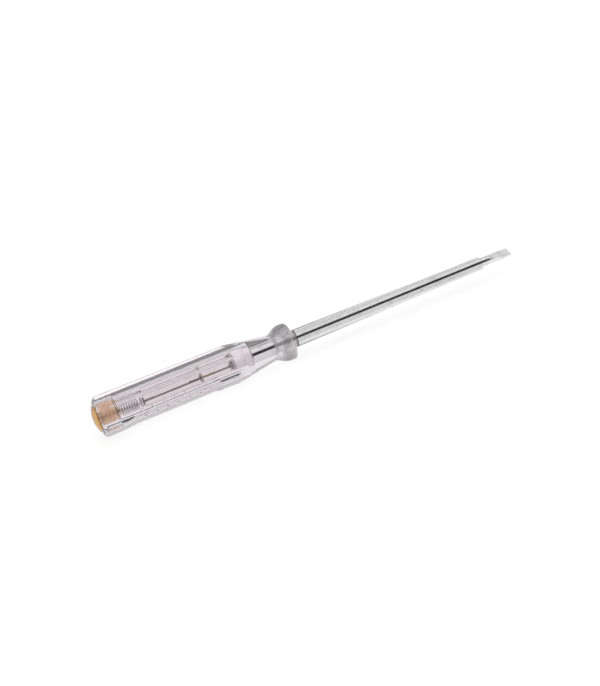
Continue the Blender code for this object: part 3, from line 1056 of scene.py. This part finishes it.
    def build(self) -> None:
        """Builds and dresses the handle, whose bore grips the rod so that no air shows round it."""
        gripped = self.rod_radius - self.rod_grip
        rings = [self.outer_ring(place) for place in self.stations()]
        places = (self.guard_face, self.boss_front, self.chamber_front, self.mouth_depth, self.mouth_chamfer)
        radii = (self.boss_radius, gripped, self.chamber_radius, self.mouth_radius)
        outline = [
            (self.guard_face, self.boss_radius + self.boss_edge),
            *stairs(places, radii),
            (0.0, self.mouth_radius + self.mouth_chamfer),
            (0.0, self.mouth_radius + 2 * self.mouth_chamfer),
        ]
        rings += [self.round_ring(*place) for place in rounded(outline, self.boss_edge, steps=3)]
        piece = Piece.from_rings("clear_handle", rings, looped=True)
        Piece.dress(piece, CLEAR, Slot.CLEAR, Body.HANDLE, "handle_body", crease_deg=55.0)
        piece.modifiers.new("flat faces stay flat", "WEIGHTED_NORMAL").keep_sharp = True


@dataclass
class Shaft(SubAssembly):
    """The plated shaft with its ground blade, and the clear sleeve over it."""

    rear_chamfer: float = 0.0005
    wedge_length: float = 0.0130
    wedge_hollow: float = 0.00015
    tip_thickness: float = 0.0007
    blade_roll_deg: float = 105.0
    side_points: int = 24
    flat_points: int = 12
    rod_rings: int = 60
    wedge_rings: int = 48
    facing_share: float = 0.9
    sleeve_edge: float = 0.0003
    sleeve_bore: float = 0.0023
    sleeve_tip_radius: float = 0.00285
    sleeve_around: int = 96

    def section(self, distance: float, radius: float, half_thickness: float) -> Ring:
        """A round section with two flats.

        Args:
            distance: place along the axis.
            radius: the rod's radius.
            half_thickness: from the axis to either flat.

        Returns:
            One ring of points.
        """
        roll = math.radians(self.blade_roll_deg) - math.pi / 2
        corner = math.asin(min(half_thickness / radius, 1.0))
        reach = radius * math.cos(corner)
        ring = []
        for start in (roll, roll + math.pi):
            for turn in spread(-corner, corner, self.side_points):
                ring.append(self.axis.point(distance, radius, start + turn))
            for place in spread(reach, -reach, self.flat_points)[1:-1]:
                turn = start + math.atan2(half_thickness, place)
                ring.append(self.axis.point(distance, math.hypot(place, half_thickness), turn))
        return ring

    def build_rod(self) -> None:
        """Builds and dresses the rod with its blade."""
        rear, tip, radius = self.span("blade_shaft")
        wedge_rear = tip - self.wedge_length
        rings = [[self.axis.point(rear)]]
        rings.append(self.section(rear, radius - self.rear_chamfer, radius))
        rings.append(self.section(rear + self.rear_chamfer, radius, radius))
        for place in spread(rear + 2 * self.rear_chamfer, wedge_rear, self.rod_rings):
            rings.append(self.section(place, radius, radius))
        for share in spread(0.0, 1.0, self.wedge_rings)[1:]:
            hollow = self.wedge_hollow * 4 * share * (1 - share)
            half = radius + (self.tip_thickness / 2 - radius) * share - hollow
            rings.append(self.section(wedge_rear + self.wedge_length * share, radius, half))
        rings.append([self.axis.point(tip)])
        piece = Piece.from_rings("plated_shaft", rings)
        Piece.dress(piece, PLATED, Slot.CHROME, Body.HANDLE, "blade_shaft", crease_deg=25.0)
        turn = math.radians(self.blade_roll_deg)
        facing = Vector((0, math.cos(turn), math.sin(turn)))
        wedge_start = self.axis.rear + wedge_rear

        def is_ground(face: Face) -> bool:
            """Whether a face lies on one of the blade's flats or on its end."""
            on_flat = face.center.x > wedge_start and abs(face.normal.dot(facing)) > self.facing_share
            return on_flat or face.normal.x > self.facing_share

        Piece.dress_part(piece, GROUND, is_ground)

    def build_sleeve(self) -> None:
        """Builds and dresses the clear sleeve."""
        rear, front, root = self.span("insulating_sleeve")
        outer = [(rear, root), (front, self.sleeve_tip_radius)]
        outline = bored(outer, self.sleeve_bore, self.sleeve_edge, steps=5)
        piece = Piece.turned("clear_sleeve", self.axis, outline, self.sleeve_around, looped=True)
        Piece.dress(piece, SLEEVE_CLEAR, Slot.SLEEVE, Body.HANDLE, "insulating_sleeve", crease_deg=50.0)


@dataclass
class EndCap(SubAssembly):
    """The domed brass cap with its threaded shank, and the disc that slides with it."""

    rim: float = 0.0002
    dome_height: float = 0.0012
    dome_steps: int = 18
    shank_radius: float = 0.0042
    thread_pitch: float = 0.00075
    thread_depth: float = 0.00032
    thread_points: int = 14
    groove_share: float = 0.8
    relief_width: float = 0.0007
    relief_depth: float = 0.0005
    around: int = 96
    spigot_length: float = 0.0008
    spigot_radius: float = 0.0024
    disc_around: int = 72

    def thread_radius(self, distance: float, turn: float, rear: float, front: float) -> float:
        """The shank's radius at a point of its thread, which runs out at both ends.

        Args:
            distance: place along the axis.
            turn: angle about it.
            rear: where the thread starts.
            front: where it ends.

        Returns:
            The radius.
        """
        phase = ((distance - rear) / self.thread_pitch + turn / TAU) % 1.0
        groove = ease(1 - abs(2 * phase - 1) / self.groove_share)
        fade = ease((distance - rear) / self.thread_pitch) * ease((front - distance) / self.thread_pitch)
        return self.shank_radius - self.thread_depth * groove * fade

    def thread_rings(self, rear: float, front: float) -> list[Ring]:
        """The threaded stretch of the shank.

        Args:
            rear: where the thread starts.
            front: where it ends.

        Returns:
            Its rings of points.
        """
        turns = [TAU * k / self.around for k in range(self.around)]
        rings = []
        for distance in spread(rear, front, round((front - rear) / self.thread_pitch * self.thread_points)):
            radii = [self.thread_radius(distance, turn, rear, front) for turn in turns]
            rings.append([self.axis.point(distance, radius, turn) for radius, turn in zip(radii, turns)])
        return rings

    def dome(self, rear: float, seat: float, rim_radius: float) -> Outline:
        """The dome, its rim and the step down to the shank.

        Args:
            rear: the top of the dome.
            seat: the face that meets the handle.
            rim_radius: radius of the rim.

        Returns:
            The outline, from the axis to the shank.
        """
        ball = (rim_radius**2 + self.dome_height**2) / (2 * self.dome_height)
        rim_turn = math.pi - math.asin(rim_radius / ball)
        outline = arc((rear + ball, 0.0), ball, math.pi, rim_turn, self.dome_steps)[1:]
        outline += [(seat, rim_radius), (seat, self.shank_radius + self.rim)]
        outline += [(seat + self.rim, self.shank_radius)]
        return [(rear, 0.0), *rounded(outline, self.rim / 2, steps=3)]

    def build_cap(self) -> None:
        """Builds and dresses the cap."""
        rear, front, rim_radius = self.span("end_cap")
        seat = rear + self.dome_height + self.rim
        relief = front - self.relief_width
        bottom = self.shank_radius - self.relief_depth
        end = [(relief, self.shank_radius), (relief, bottom), (front, bottom), (front, self.shank_radius / 2)]
        tail = [*rounded(end, self.rim / 2, steps=3)[1:], (front, 0.0)]
        rings = [self.axis.ring(*place, self.around) for place in self.dome(rear, seat, rim_radius)]
        rings += self.thread_rings(seat + 2 * self.rim, relief)
        rings += [self.axis.ring(*place, self.around) for place in tail]
        piece = Piece.from_rings("brass_cap", rings)
        Piece.dress(piece, BRASS, Slot.BRASS, Body.CAP, "end_cap", crease_deg=50.0)
        shank_start = self.axis.rear + seat + self.rim / 2
        # The shank takes the paler copy of the cap's brass, which is painted light.
        Piece.dress_part(piece, SHANK_BRASS_PAINTED_LIGHT, lambda face: face.center.x > shank_start)

    def build_disc(self) -> None:
        """Builds and dresses the disc with its spigot."""
        rear, front, radius = self.span("cap_contact_disc")
        outer = stairs((rear, front - self.spigot_length, front), (radius, self.spigot_radius))
        outline = capped(outer, (radius / 2, self.spigot_radius / 2), self.rim / 2, steps=3)
        piece = Piece.turned("pale_disc", self.axis, outline, self.disc_around)
        Piece.dress(piece, PALE_BRASS, Slot.PALE_BRASS, Body.CAP_DISC, "cap_contact_disc")


@dataclass
class ContactSpring(SubAssembly):
    """The coil spring between the cap's disc and the lamp."""

    wire: float = 0.00045
    turns: int = 7
    curl_points: int = 36
    bend: float = 0.0003
    bend_points: int = 6
    wire_steps: int = 3
    weld_share: float = 0.01
    lamp_travel: float = 0.0020
    keep_margin: float = 0.00002

    def path(self, rear: float, front: float, radius: float) -> list[Vector]:
        """Centre line of the wire: a straight foot, a bend, the curls, a bend and a straight foot.

        Args:
            rear: rear end of the spring.
            front: front end.
            radius: the coil's radius to the middle of the wire.

        Returns:
            Points along the wire.
        """
        swing = self.bend / radius
        sweep = TAU * self.turns
        curl_rear = rear + self.wire + self.bend
        curl_front = front - self.wire - self.bend
        bends = spread(0.0, math.pi / 2, self.bend_points)[:-1]
        places = [(rear, -swing)]
        for turn in bends:
            places.append((rear + self.wire + self.bend * math.sin(turn), -swing * math.cos(turn)))
        for share in spread(0.0, 1.0, self.curl_points * self.turns):
            places.append((curl_rear + (curl_front - curl_rear) * share, sweep * share))
        for turn in reversed(bends):
            places.append((front - self.wire - self.bend * math.sin(turn), sweep + swing * math.cos(turn)))
        places.append((front, sweep + swing))
        return [self.axis.point(distance, radius, turn) for distance, turn in places]

    def wind(self, points: list[Vector]) -> bpy.types.Object:
        """Draws the wire along its centre line as a closed mesh.

        Args:
            points: points along the wire.

        Returns:
            A new mesh object.
        """
        curve = bpy.data.curves.new("coil_spring", "CURVE")
        curve.dimensions = "3D"
        curve.bevel_depth = self.wire / 2
        curve.bevel_resolution = self.wire_steps
        curve.use_fill_caps = True
        spline = curve.splines.new("POLY")
        spline.points.add(len(points) - 1)
        for target, point in zip(spline.points, points):
            target.co = (*point, 1.0)
        drawn = placed("coil_spring_path", curve)
        bpy.context.view_layer.update()
        tube = bpy.data.meshes.new_from_object(drawn.evaluated_get(bpy.context.evaluated_depsgraph_get()))
        bpy.data.objects.remove(drawn)
        shape = bmesh.new()
        shape.from_mesh(tube)
        bpy.data.meshes.remove(tube)
        bmesh.ops.remove_doubles(shape, verts=shape.verts, dist=self.wire * self.weld_share)
        bmesh.ops.recalc_face_normals(shape, faces=shape.faces)
        return meshed("coil_spring", shape)

    def build(self) -> None:
        """Builds and dresses the spring."""
        rear, front, outer = self.span("contact_spring")
        piece = self.wind(self.path(rear, front, outer - self.wire / 2))
        Piece.dress(piece, SPRING_WIRE, Slot.SPRING, Body.CAP_DISC, "contact_spring", crease_deg=60.0)
        length = front - rear
        keep = (length - self.lamp_travel - self.keep_margin) / length
        self.axis.point(rear)
        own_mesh(piece)


@dataclass
class Lamp(SubAssembly):
    """The neon lamp: terminals, glass tube, leads, electrodes, bead and spacer."""

    wall: float = 0.0005
    end_rounding: float = 0.0016
    terminal: float = 0.0003
    pin_radius: float = 0.0004
    hole_radius: float = 0.0007
    edge: float = 0.00015
    around: int = 64
    wire_around: int = 24
    bend_points: int = 12
    bead_points: int = 20
    thin_share: float = 1 / 3

    def rod(self, name: str, node: str, finish: Finish, slot: Slot, edge: float) -> None:
        """Builds and dresses a thin rod on the axis with rounded ends.

        Args:
            name: the piece's name.
            node: the solid that it stands for.
            finish: its finish.
            slot: the record's material slot.
            edge: rounding of its ends.
        """
        piece = self.bar(name, node, edge, self.wire_around, self.thin_share)
        Piece.dress(piece, finish, slot, Body.LAMP, node)

    def build_terminals(self) -> None:
        """Builds the rear terminal with its pin and its paler plate, and the front terminal."""
        rear, front, radius = self.span("lamp_terminal_rear")
        step = rear + self.terminal
        outer = stairs((rear, step, front), (radius, self.pin_radius))
        outline = capped(outer, (radius / 2, self.pin_radius * self.thin_share), self.edge)
        piece = Piece.turned("rear_terminal", self.axis, outline, self.around)
        Piece.dress(piece, TINNED, Slot.STEEL, Body.LAMP, "lamp_terminal_rear")
        Piece.dress_part(piece, PALE_PLATE, lambda face: face.center.x - self.axis.rear < step)
        piece = self.bar("front_terminal", "lamp_terminal_front", self.edge, self.around)
        Piece.dress(piece, PALE_PLATE, Slot.STEEL, Body.LAMP, "lamp_terminal_front")

    def build_glass(self) -> None:
        """Builds the glass tube with its drawn-in ends."""
        rear, front, radius = self.span("lamp_glass")
        quarter = math.pi / 2
        inner = self.end_rounding - self.wall
        rear_middle = (rear + self.end_rounding, radius - self.end_rounding)
        front_middle = (front - self.end_rounding, radius - self.end_rounding)
        outline = arc(rear_middle, self.end_rounding, math.pi, quarter, self.bend_points)
        outline += arc(front_middle, self.end_rounding, quarter, 0.0, self.bend_points)
        outline += [(front, self.hole_radius), (front - self.wall, self.hole_radius)]
        outline += arc(front_middle, inner, 0.0, quarter, self.bend_points)
        outline += arc(rear_middle, inner, quarter, math.pi, self.bend_points)
        outline += [(rear + self.wall, self.hole_radius), (rear, self.hole_radius)]
        piece = Piece.turned("glass_tube", self.axis, outline, self.around, looped=True)
        Piece.dress(piece, TUBE_GLASS, Slot.GLASS, Body.LAMP, "lamp_glass", crease_deg=50.0)

    def build_bead(self) -> None:
        """Builds the fused bead and the thin spacer round it."""
        rear, front, radius = self.span("lamp_bead")
        middle, half = (rear + front) / 2, (front - rear) / 2
        outline = [(rear, 0.0)]
        for turn in spread(0.0, math.pi, self.bead_points)[1:-1]:
            outline.append((middle - half * math.cos(turn), radius * math.sin(turn)))
        outline.append((front, 0.0))
        piece = Piece.turned("fused_bead", self.axis, outline, self.around)
        Piece.dress(piece, FUSED_BEAD, Slot.BEAD, Body.LAMP, "lamp_bead")
        hole = radius + self.hole_radius - self.pin_radius
        rear, front, radius = self.span("lamp_spacer")
        outline = bored([(rear, radius), (front, radius)], hole, self.edge * self.thin_share, steps=3)
        piece = Piece.turned("mica_spacer", self.axis, outline, self.around, looped=True)
        Piece.dress(piece, MICA, Slot.MICA, Body.LAMP, "lamp_spacer")

    def build(self) -> None:
        """Builds and dresses the whole lamp."""
        thin = self.edge * self.thin_share
        self.build_terminals()
        self.build_glass()
        self.rod("rear_lead", "lamp_lead_rear", TINNED, Slot.STEEL, thin)
        self.rod("rear_electrode", "lamp_electrode_rear", DARK_NICKEL, Slot.NICKEL, self.edge)
        self.build_bead()
        self.rod("front_electrode", "lamp_electrode_front", PLATED_BRASS, Slot.BRASS, self.edge)
        self.rod("front_lead", "lamp_lead_front", TINNED, Slot.STEEL, thin)


@dataclass
class Resistor(SubAssembly):
    """The series resistor with its caps, the white bush round it and the disc that meets the shaft."""

    waist: float = 0.0002
    waist_points: int = 24
    edge: float = 0.00018
    around: int = 64
    bush_around: int = 96
    bush_bore: float = 0.0016
    groove_width: float = 0.0016
    groove_depth: float = 0.0005
    ridge_width: float = 0.0004

    def build_bush(self) -> None:
        """Builds and dresses the grooved white bush."""
        rear, front, radius = self.span("resistor_bush")
        middle = (rear + front) / 2
        groove, ridge = self.groove_width / 2, self.ridge_width / 2
        floor = radius - self.groove_depth
        places = (rear, middle - groove, middle - ridge, middle + ridge, middle + groove, front)
        radii = (radius, floor, (radius + floor) / 2, floor, radius)
        outline = bored(stairs(places, radii), self.bush_bore, self.edge)
        piece = Piece.turned("white_bush", self.axis, outline, self.bush_around, looped=True)
        Piece.dress(piece, WHITE_PLASTIC, Slot.WHITE, Body.HANDLE, "resistor_bush", crease_deg=50.0)

    def build_body(self) -> None:
        """Builds and dresses the resistor's waisted body."""
        rear, front, radius = self.span("resistor_body")
        outline = [(rear, 0.0)]
        for share in spread(0.0, 1.0, self.waist_points):
            waist = self.waist * math.sin(math.pi * share) ** 2
            outline.append((rear + (front - rear) * share, radius - waist))
        outline.append((front, 0.0))
        piece = Piece.turned("ceramic_resistor", self.axis, outline, self.around)
        Piece.dress(piece, CERAMIC, Slot.CERAMIC, Body.HANDLE, "resistor_body")

    def build(self) -> None:
        """Builds and dresses every piece of the sub-assembly."""
        self.build_bush()
        self.build_body()
        discs = (
            ("rear_resistor_cap", "resistor_cap_rear", PALE_PLATE, Slot.STEEL),
            ("front_resistor_cap", "resistor_cap_front", TINNED, Slot.STEEL),
            ("contact_disc", "shaft_contact_disc", BRASS, Slot.BRASS),
        )
        for name, node, finish, slot in discs:
            piece = self.bar(name, node, self.edge, self.around)
            Piece.dress(piece, finish, slot, Body.HANDLE, node)


@dataclass(frozen=True)
class Band:
    """A stretch of the studio round the tool, by its angle about +X from -Y towards +Z."""

    start_deg: float
    end_deg: float
    level: float
    soft_deg: float = 4.0

    def share(self, angle: Value) -> Value:
        """How far a direction lies inside the band; a band up to half a turn has no far edge.

        Args:
            angle: the direction's angle, in radians.

        Returns:
            1 inside, 0 outside.
        """
        half = math.radians(self.soft_deg) / 2
        start, end = math.radians(self.start_deg), math.radians(self.end_deg)
        inside = angle.ramp(start - half, start + half)
        if end < math.pi:
            inside = inside * angle.ramp(end + half, end - half)
        return inside


@dataclass
class Studio:
    """Floor, world, lamp and view transform.

    The levels are strengths of white light. The strips of the floor run along the tool: a painted shadow and a
    painted bright strip, which only refracted rays see. The places where one changes into the next count from
    the axis towards +Y.
    """

    axis: Axis
    plain_level: float = 0.55
    inner_level: float = 1.0
    base_level: float = 0.90
    bands: tuple[Band, ...] = (
        Band(21.0, 70.0, 0.03),
        Band(70.0, 74.0, 0.45),
        Band(74.0, 144.0, 1.0),
        Band(144.0, 180.0, 0.5),
    )
    floor_size: float = 6.0
    floor_cells: int = 8
    floor_glow: float = 0.83
    floor_colour: float = 0.24
    near_floor: float = 0.66
    # Painted shadow strip and painted bright strip on the floor, seen only by refracted rays, and where they
    # lie.
    painted_shadow_floor: float = 0.02
    painted_light_floor: float = 0.90
    far_floor: float = 0.66
    painted_shadow_start: float = 0.0057
    painted_shadow_end: float = 0.0087
    painted_light_end: float = 0.0110
    strip_soft: float = 0.0002
    lamp_power: float = 1.7
    lamp_size: float = 0.5
    lamp_place: Triple = (0.05, 0.22, 0.62)

    def build_world(self) -> None:
        """White for the camera, dark and bright bands for gloss and clear plastic, plain for soft surfaces.

        Soft surfaces behind clear plastic see the inner level, the ones in the open the plain level.
        """
        world = bpy.data.worlds.new("studio")
        bpy.context.scene.world = world
        world.use_nodes = True
        sheet = NodeSheet(world.node_tree)
        camera = sheet.ray("Is Camera Ray")
        polished = sheet.ray("Is Glossy Ray").maximum(sheet.ray("Is Transmission Ray"))
        _, side, height = sheet.numbers(sheet.add("ShaderNodeTexCoord").outputs["Generated"])
        angle = height.arctan2(side * -1.0)
        level: Value | float = self.base_level
        for band in self.bands:
            level = level + band.share(angle) * (band.level - self.base_level)
        inner = sheet.after_soft() * polished
        level = inner * self.inner_level + (1 - inner) * level
        strength = camera + (1 - camera) * (polished * level + (1 - polished) * self.plain_level)
        shader = sheet.add("ShaderNodeBackground", None, {"Color": WHITE, "Strength": strength})
        sheet.add("ShaderNodeOutputWorld", None, {"Surface": shader.outputs[0]})

    def build_floor(self) -> None:
        """A plain pale floor that shows white and keeps a faint shadow of the tool.

        Rays that clear plastic has bent see strips along the tool on it instead: a painted shadow close to the
        tool's far side, a painted bright strip beyond it, and plain floor on both sides. Such rays that met a
        soft surface before see the floor glow at least at the bright strip's level: painted light on the soft
        pieces behind the clear plastic.
        """
        shape = bmesh.new()
        cells = self.floor_cells
        bmesh.ops.create_grid(shape, x_segments=cells, y_segments=cells, size=self.floor_size / 2)
        floor = meshed("floor", shape)
        material = bpy.data.materials.new("pale floor")
        material.use_nodes = True
        sheet = NodeSheet(material.node_tree)
        refracted = sheet.ray("Is Transmission Ray")
        mirrored = sheet.ray("Is Glossy Ray") * (1 - refracted)
        seen = sheet.ray("Is Camera Ray").maximum(mirrored)
        _, side, _ = sheet.numbers(sheet.place())
        # Glow for refracted rays: a painted shadow strip near the tool's far side, then a painted bright strip.
        levels = (self.near_floor, self.painted_shadow_floor, self.painted_light_floor, self.far_floor)
        places = (self.painted_shadow_start, self.painted_shadow_end, self.painted_light_end)
        level: Value | float = self.near_floor
        for place, before, after in zip(places, levels, levels[1:]):
            level = level + side.ramp(place - self.strip_soft, place + self.strip_soft) * (after - before)
        # Painted light: after a soft bounce the floor glows at the bright strip's level, lighting soft pieces
        # behind the clear plastic.
        level = level.maximum(sheet.after_soft() * self.painted_light_floor)
        strength = seen * self.floor_glow + refracted * level
        glow = sheet.add("ShaderNodeEmission", None, {"Color": WHITE, "Strength": strength})
        soft = sheet.add("ShaderNodeBsdfDiffuse", None, {"Color": (self.floor_colour,) * 3})
        both = sheet.add("ShaderNodeAddShader", None, {0: glow.outputs[0], 1: soft.outputs[0]})
        sheet.add("ShaderNodeOutputMaterial", None, {"Surface": both.outputs[0]})
        floor.data.materials.append(material)

    def build_lamp(self) -> None:
        """One large soft lamp overhead, a little behind the tool."""
        light = bpy.data.lights.new("softbox", "AREA")
        light.shape = "SQUARE"
        light.size = self.lamp_size
        light.energy = self.lamp_power
        lamp = placed("softbox", light)
        lamp.location = self.lamp_place
        aim = self.axis.point(-self.axis.rear) - lamp.location
        lamp.rotation_euler = aim.to_track_quat("-Z", "Y").to_euler()
        lamp.visible_glossy = False
        lamp.visible_transmission = False
        lamp.visible_camera = False

    def build(self) -> None:
        """Builds the studio."""
        self.build_world()
        self.build_floor()
        self.build_lamp()
        bpy.context.scene.view_settings.view_transform = "Standard"


@dataclass
class View:
    """The camera, beside the point of the axis at `foot` and aimed at the point at `aim`."""

    axis: Axis
    focal_pixels: float = 880.0
    elevation_deg: float = 40.0
    foot: float = -0.0365
    reach: float = 0.3247
    aim: float = 0.0830
    aim_drop_pixels: float = 6.2
    slope_deg: float = 22.12
    sensor: float = 36.0
    clip_start: float = 0.01

    def build(self) -> None:
        """Creates the camera and makes it the scene's."""
        elevation = math.radians(self.elevation_deg)
        side = Vector((0, -math.cos(elevation), math.sin(elevation)))
        place = self.axis.point(self.foot) + side * self.reach
        towards = (self.axis.point(self.aim) - place).normalized()
        level = Vector((1, 0, 0))
        along = (level - towards * level.dot(towards)).normalized()
        below = towards.cross(along).normalized()
        if below.z > 0:
            below.negate()
        tilt = math.atan2(self.aim_drop_pixels, self.focal_pixels)
        view = towards * math.cos(tilt) + below * math.sin(tilt)
        down = below * math.cos(tilt) - towards * math.sin(tilt)
        slope = math.radians(self.slope_deg)
        right = along * math.cos(slope) + down * math.sin(slope)
        lower = down * math.cos(slope) - along * math.sin(slope)
        turn = Matrix((right, -lower, -view)).transposed()
        data = bpy.data.cameras.new("camera")
        data.sensor_width = self.sensor
        data.lens = self.focal_pixels * self.sensor / PICTURE_HEIGHT
        data.clip_start = self.clip_start
        camera = placed("camera", data)
        camera.matrix_world = Matrix.Translation(place) @ turn.to_4x4()
        bpy.context.scene.camera = camera


def main() -> None:
    """Builds the studio and every piece in order, and reports each one."""
    logging.basicConfig(level=logging.INFO, format="%(name)s: %(message)s")
    log.info("the frame holds %d solids", len(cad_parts))
    low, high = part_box("handle_body")
    axis = Axis(rear=low.x, height=(low.z + high.z) / 2)
    View(axis).build()
    Studio(axis).build()
    steps: list[Callable[[], None]] = [
        Handle(axis).build,
        Shaft(axis).build_rod,
        Shaft(axis).build_sleeve,
        EndCap(axis).build_cap,
        EndCap(axis).build_disc,
        ContactSpring(axis).build,
        Lamp(axis).build,
        Resistor(axis).build,
    ]
    for step in steps:
        step()


if __name__ == "__main__":
    main()
